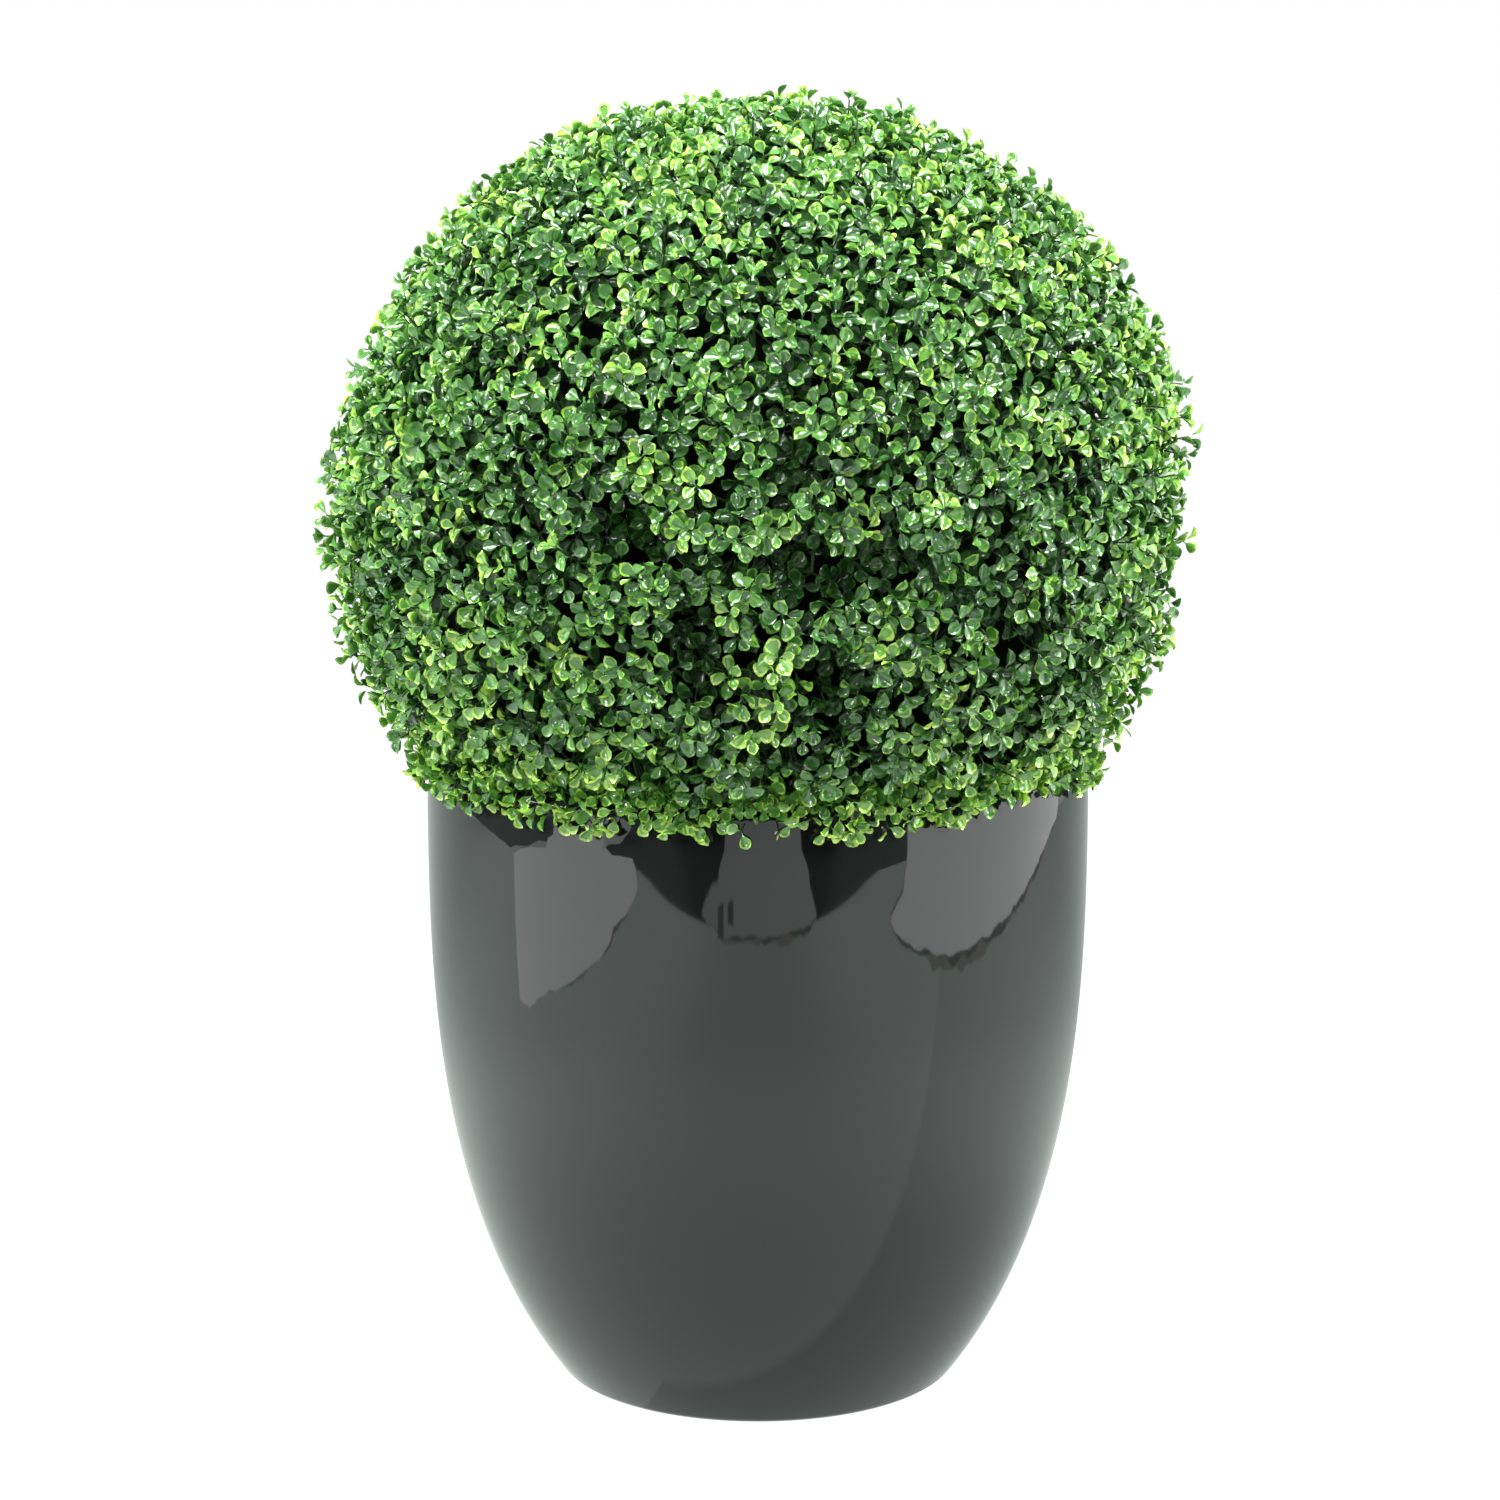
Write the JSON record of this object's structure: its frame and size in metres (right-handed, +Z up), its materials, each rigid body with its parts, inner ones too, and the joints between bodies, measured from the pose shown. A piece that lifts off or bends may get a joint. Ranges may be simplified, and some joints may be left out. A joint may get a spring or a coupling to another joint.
{
  "type": "artificial box topiary ball in pot",
  "caption": "Clipped ball of small-leaved box foliage, with pale leaf rims, resting in an egg-shaped dark glazed pot with a plain rounded lip.",
  "frame": {"origin": "middle of the pot's flat underside", "axes": "+Z up the pot's axis and through the ball, -Y towards the front"},
  "size_m": [0.5634, 0.5603, 0.8431],
  "materials": {
    "pot_glaze": "gloss dark grey glaze",
    "potting_medium": "matte chipped bark",
    "stem_bark": "matte bark",
    "foliage": "semi-gloss moulded leaves"
  },
  "bodies": {
    "root": {"pot": "pot_glaze", "potting_fill": "potting_medium", "stem": "stem_bark", "foliage_ball": "foliage"}
  },
  "joints": []
}
